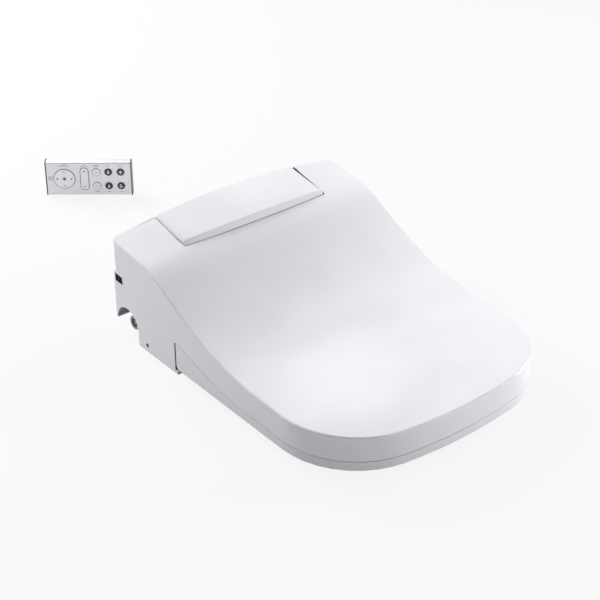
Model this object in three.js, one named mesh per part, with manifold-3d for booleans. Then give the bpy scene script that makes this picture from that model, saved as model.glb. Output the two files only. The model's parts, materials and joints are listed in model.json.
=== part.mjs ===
// Electric bidet seat: a rear housing that clips to a plate on the toilet bowl, a heated seat ring,
// a one-piece lid with two shoulders beside a fixed top panel, and a remote control.
// Millimetres. X runs across the seat, the front is at -Y, Z is up. The origin is the middle of the
// two fixing slots, on the rim of the bowl.
import * as THREE from "three";
import { mergeVertices } from "three/addons/utils/BufferGeometryUtils.js";
import Module from "manifold-3d";

const wasm = await Module();
wasm.setup();

// ---- lid ----
const lidHalfWidth = 191;
const lidBackY = 90;
const lidFrontY = -402;
const lidCornerRadius = 117;
const lidRearRadius = 7;
const lidFrontBow = 29;
const lidBackHeight = 146;
const lidBrowHeight = 137.6;
const lidBrowY = 15;
const lidBrowHandle = 35;
const lidBrowFall = 3.6;
const lidFlatHeight = 61;
const lidFlatY = -240;
const lidFlatHandle = 140;
const lidCrownBack = 18;
const lidCrownFront = 4.6;
const lidSkin = 3;
const lidSkirtWall = 2.4;
const lidEdgeRadius = 2.2;
const lidInnerRadius = 1.2;
const lidLipDepth = 8;
const lidRibDepth = 12;
const lidBufferRadius = 7;
const lidBufferSide = 49;
const lidBufferFront = 50;
const lidBufferBack = 25;
const skirtBackHeight = 96;
const skirtFrontHeight = 25.5;
const skirtFlatY = -190;
const skirtHandleBack = 80;
const skirtHandleFront = 110;
const skirtRise = 4.5;

// ---- seat ring ----
const seatBackY = -54;
const seatBottom = 12;
const seatHeelRadius = 6.5;
const seatDrop = 12.5;
const seatWall = 3;
const seamGap = 1.2;
const seamLedge = 3.8;
const openingCentreY = -225;
const openingHalfWidth = 106;
const openingHalfLength = 120;
const openingRoundness = 2.2;
const bridgeHalfWidth = 92;
const coverThickness = 2.5;
const coverBackY = -112;
const seatBufferLength = 34;
const seatBufferWidth = 14;
const seatBufferSide = 51;
const seatBufferFront = 52;
const seatBufferBack = 55;
const frontBufferX = 84;
const armInset = 1.6;
const armThickness = 7;
const armGap = 3;
const armOverlap = 22;

// ---- hinge, shared by lid and seat ----
const hingeY = 65;
const hingeZ = 126;
const hingePinRadius = 4;
const hingeBarrelRadius = 11;
const runningGap = 0.3;
const outerLugWidth = 7.8;
const lidLugWidth = 8;
const seatBarrelLength = 32.2;
const lugFoot = 8;
const damperRadius = 9;
const damperLength = 38;
const damperEnd = 100;

// ---- rear housing ----
const caseSideStep = 3;
const caseFrontY = -52.2;
const caseBackY = 96;
const caseCornerRadius = 2.5;
const caseWall = 3;
const caseDrop = 16;
const pocketY = 51;
const saddleZ = 113;
const shelfY = 74.5;
const shelfZ = 95;
const archY = 65.5;
const archZ = 20.8;
const archRadius = 25.5;
const archDepth = 31.5;

// ---- top panel ----
const panelHalfWidth = 120.2;
const panelFrontY = 15.5;
const panelFrontBow = 3;
const panelBottom = 141.5;
const panelBevelDepth = 5.5;
const panelFrontHeight = 147;
const panelCrown = 3.5;
const panelWall = 2.4;
const panelGap = 1.2;
const panelFrontGap = 1.6;
const notchRadius = 3.5;

// ---- fixing and fittings ----
const plateEnd = 17.5;
const plateHalfWidth = 25;
const plateThickness = 5;
const plateCornerRadius = 10;
const slotSpacing = 155;
const slotHalfLength = 13;
const slotHalfWidth = 6;
const adjusterRadius = 17;
const adjusterThickness = 2.1;
const trayGap = 0.6;
const trayThickness = 3;
const trayRoofThickness = 1.9;
const inletRadius = 10.4;
const inletBore = 7;
const inletY = 62.5;
const inletZ = 22;
const inletSetback = 8;
const nutLength = 7;
const nutStep = 3;
const threadPitch = 4;
const threadDepth = 0.8;
const gasketBore = 4;
const gasketLength = 4.5;
const switchLength = 17;
const switchHeight = 13;
const switchDepth = 18;
const switchWell = 9.6;
const switchWall = 0.6;
const switchY = 82.4;
const switchZ = 86.4;
const rockerSetback = 6;
const rockerTilt = 7;
const screwRadius = 3;
const screwShank = 1.5;
const screwLength = 14;
const screwBoss = 12.7;
const screwY = 19.5;
const screwZ = 10.2;
const releaseY = 0;
const releaseZ = 16;
const releaseHalfLength = 13;
const releaseHalfHeight = 4.5;
const releaseTravel = 4;
const releaseTongue = 14;
const glandInset = 38;
const glandZ = 32;
const glandRadius = 8;
const glandBore = 3.8;

// ---- wands and their guard ----
const wandRadius = 6.5;
const wandLength = 112;
const wandSpacing = 24;
const wandTilt = 20;
const wandTipY = -75;
const wandTipZ = 27;
const nozzleHoleRadius = 0.7;
const guardWall = 2.2;
const sleeveWall = 2.6;
const cradleHalfWidth = 24;
const cradleBack = 106;
const cradleWall = 3;
const wandSlotBelow = 7;
const wandSlotAbove = 25;

// ---- dryer ----
const dryerX = 69;
const dryerHalfWidth = 14;
const dryerWall = 2.5;
const dryerY = 2;
const dryerZ = 42;
const dryerRadius = 29;
const impellerRadius = 21;
const impellerBlades = 8;
const outletBottom = 16;
const outletTop = 37.5;
const flapHingeZ = 41;
const flapThickness = 1.6;

// ---- tank, valve, pump and control board ----
const tankInset = 93;
const tankY = -2;
const tankHalfWidth = 38;
const tankCornerRadius = 12;
const tankTop = 66;
const valveLength = 42;
const valveHalfWidth = 16.5;
const valveTop = 36;
const pumpGap = 12.5;
const pumpLength = 37;
const pumpRadius = 14.5;
const boardGap = 5;
const boardSetback = 18;
const boardFrontY = -34;
const boardBackY = 12;
const boardZ = 12;
const boardThickness = 1.6;
const transformer = [22, 16, 13.4];
const relay = [16, 18, 8.4];
const capacitorRadius = 5;
const capacitorHeight = 20.4;
const socketSide = 7;
const socketHeight = 6.4;
const socketPitch = 9;

// ---- remote control ----
const remoteLength = 138;
const remoteHeight = 58;
const remoteThickness = 15;
const remoteWall = 2;
const remoteEdgeRadius = 2.6;
const remoteFrontDepth = 8.7;
const trimThickness = 1.4;
const trimProud = 0.8;
const remoteTurn = -38.7;
const remoteX = -4.3;
const remoteY = 458.2;
const padRadius = 16.5;
const padX = -39;
const padZ = 29.5;
const padCentreRadius = 4;
const rockerX = -6.8;
const rockerHalfWidth = 6;
const rockerHalfHeight = 19;
const keyRadius = 6;
const keyFlange = 1.2;
const keyBase = 1;
const keyTravel = 0.8;
const keyRows = [41.4, 17];
const keyColumns = [12.6, 31.6, 51.2];
const keypadThickness = 1.6;
const batteryHalfLength = 31;
const batteryHalfHeight = 14;
const batteryCoverThickness = 1.8;
const cellRadius = 10;
const cellThickness = 3.2;
const cellX = 13;

const fit = 0.3;

// ---- what follows from these ----
const plateHalfLength = slotSpacing / 2 + plateEnd;
const caseHalfWidth = lidHalfWidth - caseSideStep;
const outerLugTo = caseHalfWidth - 0.4;
const outerLugFrom = outerLugTo - outerLugWidth;
const lidLugTo = outerLugFrom - 2 * fit;
const lidLugFrom = lidLugTo - lidLugWidth;
const seatBarrelTo = lidLugFrom - 2 * fit;
const seatBarrelFrom = seatBarrelTo - seatBarrelLength;
const innerLugTo = seatBarrelFrom - 2 * fit;
const innerLugFrom = panelHalfWidth + 2 * panelGap;
const pillarHalfWidth = panelHalfWidth - panelWall / 2;
const pillarFrontY = panelFrontY + panelFrontBow + panelWall / 2;
const pillarBackY = lidBackY - panelWall / 2;
const pillarTop = panelBottom - fit;
const archInnerX = -caseHalfWidth + archDepth;
const inletTip = -caseHalfWidth + inletSetback;
const valveFrom = archInnerX + caseWall + 2;
const valveTo = valveFrom + valveLength;
const tankX = tankInset - caseHalfWidth;
const floorZ = trayGap + trayThickness + fit;
const hatZ = plateThickness + 2 * fit + trayRoofThickness + trayGap + fit;
const glandX = caseHalfWidth - glandInset;
const flapHingeY = caseFrontY - 2.3;
const wandX = wandSpacing / 2;
const keyPlate = remoteWall + fit;

// ======== helpers ========

const finishes = {
  shell: { color: 0xf4f5f7, roughness: 0.16, metalness: 0 },
  panel: { color: 0xf7f8fa, roughness: 0.14, metalness: 0 },
  seat: { color: 0xf1f2f4, roughness: 0.18, metalness: 0 },
  plastic: { color: 0xd9dadd, roughness: 0.5, metalness: 0 },
  black: { color: 0x151517, roughness: 0.4, metalness: 0 },
  rubber: { color: 0xc9cacc, roughness: 0.8, metalness: 0 },
  steel: { color: 0xb9bbbf, roughness: 0.3, metalness: 1 },
  board: { color: 0x2f6b3d, roughness: 0.6, metalness: 0 },
  remote: { color: 0xc6c8cd, roughness: 0.35, metalness: 0 },
  trim: { color: 0x5a5c62, roughness: 0.35, metalness: 0 },
  key: { color: 0xd8dade, roughness: 0.3, metalness: 0 },
  darkKey: { color: 0x4a4d54, roughness: 0.4, metalness: 0 },
};

const object = new THREE.Group();
const baseGroup = new THREE.Group();
const seatGroup = new THREE.Group();
const lidGroup = new THREE.Group();
const remoteGroup = new THREE.Group();
object.add(baseGroup, seatGroup, lidGroup, remoteGroup);

// A closed geometry as a solid that can be joined and cut, with its faces turned outwards.
function solid(geometry) {
  const bare = new THREE.BufferGeometry();
  bare.setAttribute("position", geometry.getAttribute("position"));
  bare.setIndex(geometry.index);
  const merged = mergeVertices(bare, 1e-4);
  const corners = Array.from(merged.index.array);
  const triVerts = [];
  for (let i = 0; i < corners.length; i += 3) {
    const [a, b, c] = corners.slice(i, i + 3);
    if (a !== b && b !== c && c !== a) triVerts.push(a, b, c);
  }
  const vertProperties = merged.attributes.position.array;
  const make = (order) =>
    new wasm.Manifold(
      new wasm.Mesh({ numProp: 3, vertProperties, triVerts: new Uint32Array(order) }),
    );
  const made = make(triVerts);
  return made.volume() < 0 ? make(triVerts.reverse()) : made;
}

// Puts a solid into a group as a named mesh with its own material.
function piece(name, body, finish, group) {
  const { vertProperties, triVerts, numProp } = body.getMesh();
  const geometry = new THREE.BufferGeometry();
  const position = new Float32Array((vertProperties.length / numProp) * 3);
  for (let i = 0; i < position.length / 3; i++) {
    position.set(vertProperties.subarray(i * numProp, i * numProp + 3), i * 3);
  }
  geometry.setAttribute("position", new THREE.BufferAttribute(position, 3));
  geometry.setIndex(new THREE.BufferAttribute(new Uint32Array(triVerts), 1));
  const shaded = geometry.toNonIndexed();
  shaded.computeVertexNormals();
  const mesh = new THREE.Mesh(shaded, new THREE.MeshStandardMaterial(finishes[finish]));
  mesh.name = name;
  group.add(mesh);
  return mesh;
}

function block(x0, x1, y0, y1, z0, z1) {
  const geometry = new THREE.BoxGeometry(x1 - x0, y1 - y0, z1 - z0);
  geometry.translate((x0 + x1) / 2, (y0 + y1) / 2, (z0 + z1) / 2);
  return solid(geometry);
}

// A round bar along an axis; centre gives the two coordinates across that axis, in X, Y, Z order.
function bar(axis, radius, from, to, centre, sides = 24, endRadius = radius) {
  const geometry = new THREE.CylinderGeometry(endRadius, radius, to - from, sides);
  const middle = (from + to) / 2;
  if (axis === "x") {
    geometry.rotateZ(-Math.PI / 2);
    geometry.translate(middle, centre[0], centre[1]);
  } else if (axis === "y") {
    geometry.translate(centre[0], middle, centre[1]);
  } else {
    geometry.rotateX(Math.PI / 2);
    geometry.translate(centre[0], centre[1], middle);
  }
  return solid(geometry);
}

// Points on an arc, in degrees.
function arc(cx, cy, radius, from, to, steps) {
  const points = [];
  for (let i = 0; i <= steps; i++) {
    const angle = THREE.MathUtils.degToRad(from + ((to - from) * i) / steps);
    points.push([cx + radius * Math.cos(angle), cy + radius * Math.sin(angle)]);
  }
  return points;
}

function shapeOf(points) {
  return new THREE.Shape(points.map(([a, b]) => new THREE.Vector2(a, b)));
}

// An outline drawn in Y and Z, drawn out along X.
function prismX(points, from, to) {
  const geometry = new THREE.ExtrudeGeometry(shapeOf(points), {
    depth: to - from,
    bevelEnabled: false,
    curveSegments: 8,
  });
  geometry.applyMatrix4(
    new THREE.Matrix4().makeBasis(
      new THREE.Vector3(0, 1, 0),
      new THREE.Vector3(0, 0, 1),
      new THREE.Vector3(1, 0, 0),
    ),
  );
  geometry.translate(from, 0, 0);
  return solid(geometry);
}

// An outline drawn in X and Z, drawn out along Y.
function prismY(points, from, to) {
  const geometry = new THREE.ExtrudeGeometry(shapeOf(points), {
    depth: to - from,
    bevelEnabled: false,
  });
  geometry.rotateX(Math.PI / 2);
  geometry.translate(0, to, 0);
  return solid(geometry);
}

// An outline drawn in X and Y, drawn up along Z.
function prismZ(points, from, to) {
  const geometry = new THREE.ExtrudeGeometry(shapeOf(points), {
    depth: to - from,
    bevelEnabled: false,
  });
  geometry.translate(0, 0, from);
  return solid(geometry);
}

// A rectangle with round corners, centred on (cx, cy).
function roundedRectangle(cx, cy, halfX, halfY, radius, steps = 4) {
  const x = halfX - radius;
  const y = halfY - radius;
  return [
    ...arc(cx + x, cy + y, radius, 0, 90, steps),
    ...arc(cx - x, cy + y, radius, 90, 180, steps),
    ...arc(cx - x, cy - y, radius, 180, 270, steps),
    ...arc(cx + x, cy - y, radius, 270, 360, steps),
  ];
}

// A skin over rings of points. Each ring holds as many points as the next and closes on itself.
// The ends close on themselves where the last ring has shrunk to a line, or join when looped.
function loft(rings, looped = false) {
  const count = rings[0].length;
  const position = new Float32Array(rings.flat(2));
  const index = [];
  const last = looped ? rings.length : rings.length - 1;
  for (let r = 0; r < last; r++) {
    const here = r * count;
    const next = ((r + 1) % rings.length) * count;
    for (let i = 0; i < count; i++) {
      const j = (i + 1) % count;
      index.push(here + i, here + j, next + j, here + i, next + j, next + i);
    }
  }
  const geometry = new THREE.BufferGeometry();
  geometry.setAttribute("position", new THREE.BufferAttribute(position, 3));
  geometry.setIndex(index);
  return solid(geometry);
}

// A skin over sections of equal point count, with a flat cap at each end.
function sectionLoft(sections) {
  const count = sections[0].length;
  const position = new Float32Array(sections.flat(2));
  const index = [];
  for (let s = 0; s + 1 < sections.length; s++) {
    for (let i = 0; i < count; i++) {
      const a = s * count + i;
      const b = s * count + ((i + 1) % count);
      index.push(a, b, b + count, a, b + count, a + count);
    }
  }
  const top = (sections.length - 1) * count;
  for (let i = 1; i + 1 < count; i++) {
    index.push(0, i + 1, i, top, top + i, top + i + 1);
  }
  const geometry = new THREE.BufferGeometry();
  geometry.setAttribute("position", new THREE.BufferAttribute(position, 3));
  geometry.setIndex(index);
  return solid(geometry);
}

// A copy of a solid, turned, moved or mirrored by a matrix.
function placed(body, matrix) {
  const { vertProperties, triVerts } = body.getMesh();
  const geometry = new THREE.BufferGeometry();
  geometry.setAttribute("position", new THREE.BufferAttribute(vertProperties.slice(), 3));
  geometry.setIndex(new THREE.BufferAttribute(triVerts.slice(), 1));
  return solid(geometry.applyMatrix4(matrix));
}
const mirrored = (body) => placed(body, new THREE.Matrix4().makeScale(-1, 1, 1));
const lowered = (body, depth) => placed(body, new THREE.Matrix4().makeTranslation(0, 0, -depth));

// ======== the curves that lid, seat and housing share ========

// Height of a planar cubic Bezier at a given y; y falls steadily along the curve.
function bezierHeight(y, [p0, p1, p2, p3]) {
  const curve = new THREE.CubicBezierCurve(
    ...[p0, p1, p2, p3].map(([a, b]) => new THREE.Vector2(a, b)),
  );
  let low = 0;
  let high = 1;
  for (let i = 0; i < 40; i++) {
    const middle = (low + high) / 2;
    if (curve.getPoint(middle).x > y) low = middle;
    else high = middle;
  }
  return curve.getPoint(low).y;
}

// Height of the lid's top edge: a gentle fall over the shoulders, an S to the flat front.
const browCurve = [
  [lidBrowY, lidBrowHeight],
  [lidBrowY - lidBrowHandle, lidBrowHeight - lidBrowFall],
  [lidFlatY + lidFlatHandle, lidFlatHeight],
  [lidFlatY, lidFlatHeight],
];
function hood(y) {
  if (y >= lidBrowY) {
    const share = (y - lidBrowY) / (lidBackY - lidBrowY);
    return lidBrowHeight + (lidBackHeight - lidBrowHeight) * share;
  }
  return y <= lidFlatY ? lidFlatHeight : bezierHeight(y, browCurve);
}

// Height of the skirt's lower edge, where lid and seat meet.
const skirtCurve = [
  [lidBackY, skirtBackHeight],
  [lidBackY - skirtHandleBack, skirtBackHeight],
  [skirtFlatY + skirtHandleFront, skirtFrontHeight + skirtRise],
  [skirtFlatY, skirtFrontHeight],
];
function skirt(y) {
  return y <= skirtFlatY ? skirtFrontHeight : bezierHeight(Math.min(y, lidBackY), skirtCurve);
}

// The plan outline: straight sides, corner arcs and a bowed front, from the front's middle round
// the right side to the point (halfWidth, sideYs[0]); mirrored by the caller.
const frontArcRadius = (lidHalfWidth ** 2 + lidFrontBow ** 2) / (2 * lidFrontBow);
const frontArcY = lidFrontY + frontArcRadius;
const cornerX = lidHalfWidth - lidCornerRadius;
const cornerY = frontArcY - Math.sqrt((frontArcRadius - lidCornerRadius) ** 2 - cornerX ** 2);
const cornerAngle = THREE.MathUtils.radToDeg(Math.atan2(cornerY - frontArcY, cornerX));
function halfOutline(inset, sideYs, cornerSteps, frontSteps) {
  return [
    ...sideYs.map((y) => [lidHalfWidth - inset, y]),
    ...arc(cornerX, cornerY, lidCornerRadius - inset, 0, cornerAngle, cornerSteps),
    ...arc(0, frontArcY, frontArcRadius - inset, cornerAngle, -90, frontSteps).slice(1),
  ];
}
const flip = (points) => points.map(([x, ...rest]) => [-x, ...rest]);

// ======== lid ========

// How far the top rises above its edge: across is 0 at the edge and 1 at the middle. It is a plain
// arch at the back and flatter, with rounder sides, from the brow on.
function crown(y, across) {
  const share = THREE.MathUtils.clamp((y - lidBrowY) / (lidBackY - lidBrowY), 0, 1.2);
  const rise = lidCrownFront + (lidCrownBack - lidCrownFront) * share ** 1.3;
  return rise * (1 - (1 - across) ** (4 - 2 * share));
}

const lidSideYs = [100, 68, 38, 15, -3, -20, -36, -52, -68, -86, -106, -130, -160, -205];
const lidTailY = lidSideYs[0];
const lidSpineBackY = 40;
const lidTailHalfWidth = lidHalfWidth - 41;

// The filled form of the lid: its outline drawn in by inset and its top lowered by drop.
function hoodForm(inset, drop, bottom, edge, turns, shares) {
  const rim = (extra) => {
    const half = halfOutline(inset + extra, lidSideYs, 9, 4);
    const back = [0, 1, 2, 3].map((step) => [(lidTailHalfWidth * step) / 3, lidTailY]);
    const right = [...back, ...half];
    return [...right, ...flip(right.slice(1, -1)).reverse()];
  };
  const outer = rim(0);
  const spine = outer.map(([, y]) => [0, THREE.MathUtils.clamp(y, cornerY, lidSpineBackY)]);
  const top = ([x, y], share) => {
    const across = y > cornerY ? 1 - Math.abs(x) / (lidHalfWidth - inset) : share;
    return hood(y) + crown(y, across) - drop;
  };
  const rings = [spine.map(([x, y]) => [x, y, bottom]), outer.map(([x, y]) => [x, y, bottom])];
  for (const angle of turns) {
    const turn = THREE.MathUtils.degToRad(angle);
    const extra = edge * (1 - Math.cos(turn));
    const fall = edge * (1 - Math.sin(turn));
    rings.push(rim(extra).map(([x, y], i) => [x, y, top(outer[i], 0) - fall + 0.1 * extra]));
  }
  const start = rim(edge);
  for (const share of shares) {
    rings.push(
      start.map((p, i) => {
        const x = p[0] + (spine[i][0] - p[0]) * share;
        const y = p[1] + (spine[i][1] - p[1]) * share;
        return [x, y, top([x, y], share)];
      }),
    );
  }
  return loft(rings);
}

const lidOuter = hoodForm(0, 0, 5, lidEdgeRadius, [0, 22.5, 45, 67.5, 90], [0.12, 0.3, 0.55, 1]);
const lidInner = hoodForm(lidSkirtWall, lidSkin, 0, lidInnerRadius, [0, 90], [0.35, 1]);
const beyond = 300;
const boreAt = (from, to) =>
  bar("x", hingePinRadius + runningGap, from, to, [hingeY, hingeZ], 16);
const barrelAt = (from, to) => bar("x", hingeBarrelRadius, from, to, [hingeY, hingeZ], 16);

// The front of the top panel seen from above: bowed forward in the middle.
const panelFront = (x) => panelFrontY + panelFrontBow * (x / panelHalfWidth) ** 2;

// The gap that the lid leaves for the panel, seen from above.
function notchPlan() {
  const side = panelHalfWidth + panelGap;
  const turnX = side - notchRadius;
  const front = (x) => panelFront(x) - panelFrontGap;
  const corner = [[side, beyond], ...arc(turnX, front(turnX) + notchRadius, notchRadius, 0, -90, 5)];
  const bow = [0.8, 0.6, 0.4, 0.2].map((share) => [turnX * share, front(turnX * share)]);
  const right = [...corner, ...bow];
  return [...right, [0, front(0)], ...flip(right).reverse()];
}

function lidShell() {
  const back = block(-beyond, beyond, lidBackY, beyond, -10, beyond);
  let shell = lidOuter.subtract(lidInner).subtract(back);
  // the skirt's lower edge
  const below = [
    [-2 * beyond, -10],
    [-2 * beyond, skirtFrontHeight],
  ];
  for (let y = skirtFlatY; y < lidBackY; y += 14) below.push([y, skirt(y)]);
  below.push([lidBackY + 20, skirtBackHeight], [lidBackY + 20, -10]);
  shell = shell.subtract(prismX(below, -beyond, beyond));
  // a lip across the back of each shoulder and a rib beside the notch, both hanging from the top
  const strip = (x0, x1, y0, y1, depth) =>
    lidOuter
      .intersect(block(x0, x1, y0, y1, skirtBackHeight, beyond))
      .subtract(lowered(lidOuter, depth));
  const notchX = panelHalfWidth + panelGap;
  const ribX = notchX + lidSkirtWall;
  const lip = strip(notchX, lidHalfWidth, lidBackY - lidSkirtWall, lidBackY, lidLipDepth);
  const rib = strip(notchX, ribX, panelFrontY - panelFrontGap, lidBackY, lidRibDepth);
  const rearX = lidHalfWidth - lidRearRadius;
  const rearY = lidBackY - lidRearRadius;
  const corner = strip(rearX, lidHalfWidth, rearY, lidBackY, lidLipDepth);
  // the lug that carries the lid on its pin
  const web = block(lidLugFrom, lidLugTo, hingeY - lugFoot, hingeY + lugFoot, hingeZ, beyond);
  const lug = barrelAt(lidLugFrom, lidLugTo)
    .add(web.intersect(lidOuter))
    .subtract(boreAt(lidLugFrom - 1, lidLugTo + 1));
  const side = lip.add(rib).add(corner).add(lug);
  // the rear corner is round, and below the lip the skirt stops short of it
  const outside = block(rearX, beyond, rearY, beyond, -10, beyond).subtract(
    bar("z", lidRearRadius, -20, 2 * beyond, [rearX, rearY], 32),
  );
  const tail = block(rearX, beyond, lidBackY - lidRearRadius / 2, beyond, -10, beyond);
  const trim = outside.add(tail.intersect(lowered(lidOuter, lidLipDepth)));
  shell = shell.subtract(prismZ(notchPlan(), skirtBackHeight, beyond)).add(side).add(mirrored(side));
  return shell.subtract(trim).subtract(mirrored(trim));
}

// ======== seat ========

const seatTop = (y) => hood(y) - seatDrop;

function openingPoint(x, y) {
  const angle = Math.atan2(y - openingCentreY, x);
  const across = Math.abs(Math.cos(angle) / openingHalfWidth) ** openingRoundness;
  const along = Math.abs(Math.sin(angle) / openingHalfLength) ** openingRoundness;
  return { angle, radius: (across + along) ** (-1 / openingRoundness) };
}

const seatSideYs = [seatBackY, -64, -76, -90, -106, -126, -150, -185, -235];
const seatBackHalfWidth = lidHalfWidth - 21;
function seatStations() {
  const right = [
    ...[0, 1, 2, 3, 4].map((step) => [(seatBackHalfWidth * step) / 4, seatBackY]),
    ...halfOutline(0, seatSideYs, 9, 4),
  ];
  return [...right, ...flip(right.slice(1, -1)).reverse()];
}

// A point of the seat at a distance inside its outer edge.
function insideSeat([x, y], inset) {
  if (y > cornerY) {
    const sideX = Math.min(Math.abs(x), lidHalfWidth - inset);
    return [Math.sign(x) * sideX, Math.min(y, seatBackY - inset)];
  }
  const away = [Math.abs(x) - cornerX, y - cornerY];
  const onCorner = Math.atan2(away[1], away[0]) > THREE.MathUtils.degToRad(cornerAngle);
  const centre = onCorner ? [Math.sign(x) * cornerX, cornerY] : [0, frontArcY];
  const reach = Math.hypot(x - centre[0], y - centre[1]);
  const share = 1 - inset / reach;
  return [centre[0] + (x - centre[0]) * share, centre[1] + (y - centre[1]) * share];
}

// A point of the seat at a distance outside its opening, on the ray through an edge point.
function roundOpening([x, y], outset) {
  const { angle, radius } = openingPoint(x, y);
  return [
    Math.cos(angle) * (radius + outset),
    openingCentreY + Math.sin(angle) * (radius + outset),
  ];
}

function seatShell() {
  const sections = seatStations().map((edge) => {
    const from = (inset) => insideSeat(edge, inset);
    const round = (outset) => roundOpening(edge, outset);
    const at = ([x, y], z) => [x, y, z];
    const topAt = (p, drop) => at(p, seatTop(p[1]) - drop);
    const seam = skirt(edge[1]) - seamGap;
    const rim = seatTop(round(0)[1]);
    const low = seatBottom + coverThickness + 2 * fit;
    const crest = [0, 1].map((k) => (from(18)[k] + round(12)[k]) / 2);
    const ledge = seamLedge + seatWall;
    return [
      at(from(0), seatBottom),
      at(from(0), seam),
      at(from(seamLedge), seam + 0.3),
      topAt(from(seamLedge + 0.5), 8),
      topAt(from(seamLedge + 3), 2.6),
      topAt(from(14), 0.3),
      topAt(crest, 0),
      topAt(round(9), 1.6),
      topAt(round(2.6), 6),
      at(round(0), rim - 13),
      at(round(0), low),
      at(round(seatWall), low),
      at(round(seatWall), rim - 14.5),
      topAt(crest, seatWall),
      topAt(from(14), seatWall + 0.8),
      topAt(from(ledge + 1), 9.5),
      at(from(ledge), seam - seatWall),
      at(from(seatWall), seam - seatWall - 0.5),
      at(from(seatWall), seatBottom),
    ];
  });
  // room for the spray guard and wands under the bridge
  const room = block(
    -bridgeHalfWidth, bridgeHalfWidth,
    coverBackY - 18, seatBackY + 14,
    -1, guardTop + 6,
  );
  // the heel, rounded off towards the housing
  const heel = prismX(
    [
      [seatBackY + 1, seatBottom - 1],
      [seatBackY + 1, seatBottom + seatHeelRadius],
      ...arc(seatBackY - seatHeelRadius, seatBottom + seatHeelRadius, seatHeelRadius, 0, -90, 5),
      [seatBackY - seatHeelRadius, seatBottom - 1],
    ],
    -beyond,
    beyond,
  );
  const shell = loft(sections, true).subtract(room).subtract(heel);
  // arms over the housing to the hinge barrels
  const ys = [];
  for (let y = seatBackY - armOverlap; y <= hingeY - 8; y += 11) ys.push(y);
  const under = lidSkin + armGap;
  const low = ys.map((y) => [y, hood(y) - under - armThickness]);
  const top = ys.map((y) => [y, hood(y) - under - (y < seatBackY ? 4 : 0)]);
  const outline = [...low, [hingeY, hingeZ], ...top.reverse()];
  const arm = prismX(outline, seatBarrelFrom + armInset, seatBarrelTo - armInset)
    .add(barrelAt(seatBarrelFrom, seatBarrelTo))
    .subtract(boreAt(seatBarrelFrom - 1, seatBarrelTo + 1));
  return shell.add(arm).add(mirrored(arm));
}

// The plate that closes the ring from below, round the front of the opening.
function seatCover() {
  const bottom = seatBottom + fit;
  const top = bottom + coverThickness;
  const sections = seatStations().map((edge) => {
    const outer = insideSeat(edge, seatWall + fit);
    const inner = roundOpening(edge, fit);
    return [
      [...outer, bottom],
      [...outer, top],
      [...inner, top],
      [...inner, bottom],
    ];
  });
  return loft(sections, true).subtract(block(-beyond, beyond, coverBackY, beyond, -beyond, beyond));
}

// ======== rear housing ========

// The housing's outline seen from the side, drawn in by inset.
function caseProfile(inset) {
  const points = [[caseFrontY + inset, inset > 0 ? -1 : 0]];
  const end = pocketY - inset;
  for (let y = caseFrontY + inset; y < end - 4; y += 9) {
    points.push([y, hood(y) - caseDrop - inset]);
  }
  points.push([end, hood(end) - caseDrop - inset]);
  points.push([end, saddleZ - inset], [shelfY - inset, saddleZ - inset]);
  points.push([shelfY - inset, shelfZ - inset], [caseBackY - inset, shelfZ - inset]);
  points.push([caseBackY - inset, inset > 0 ? -1 : 0]);
  return points;
}

// The housing's outline seen from above, drawn in by inset.
function casePlan(inset) {
  const x = caseHalfWidth - inset;
  const front = caseFrontY + inset;
  const back = caseBackY - inset;
  const radius = Math.max(caseCornerRadius - inset, 0.5);
  return [
    [-x, front],
    [x, front],
    ...arc(x - radius, back - radius, radius, 0, 90, 3),
    ...arc(radius - x, back - radius, radius, 90, 180, 3),
  ];
}

// The notch at the back left, where the water hose meets its inlet.
function archProfile(grow) {
  const radius = archRadius + grow;
  return [
    [archY - radius, -1],
    ...arc(archY, archZ, radius, 180, 0, 14),
    [beyond, archZ],
    [beyond, -1],
  ];
}

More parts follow.
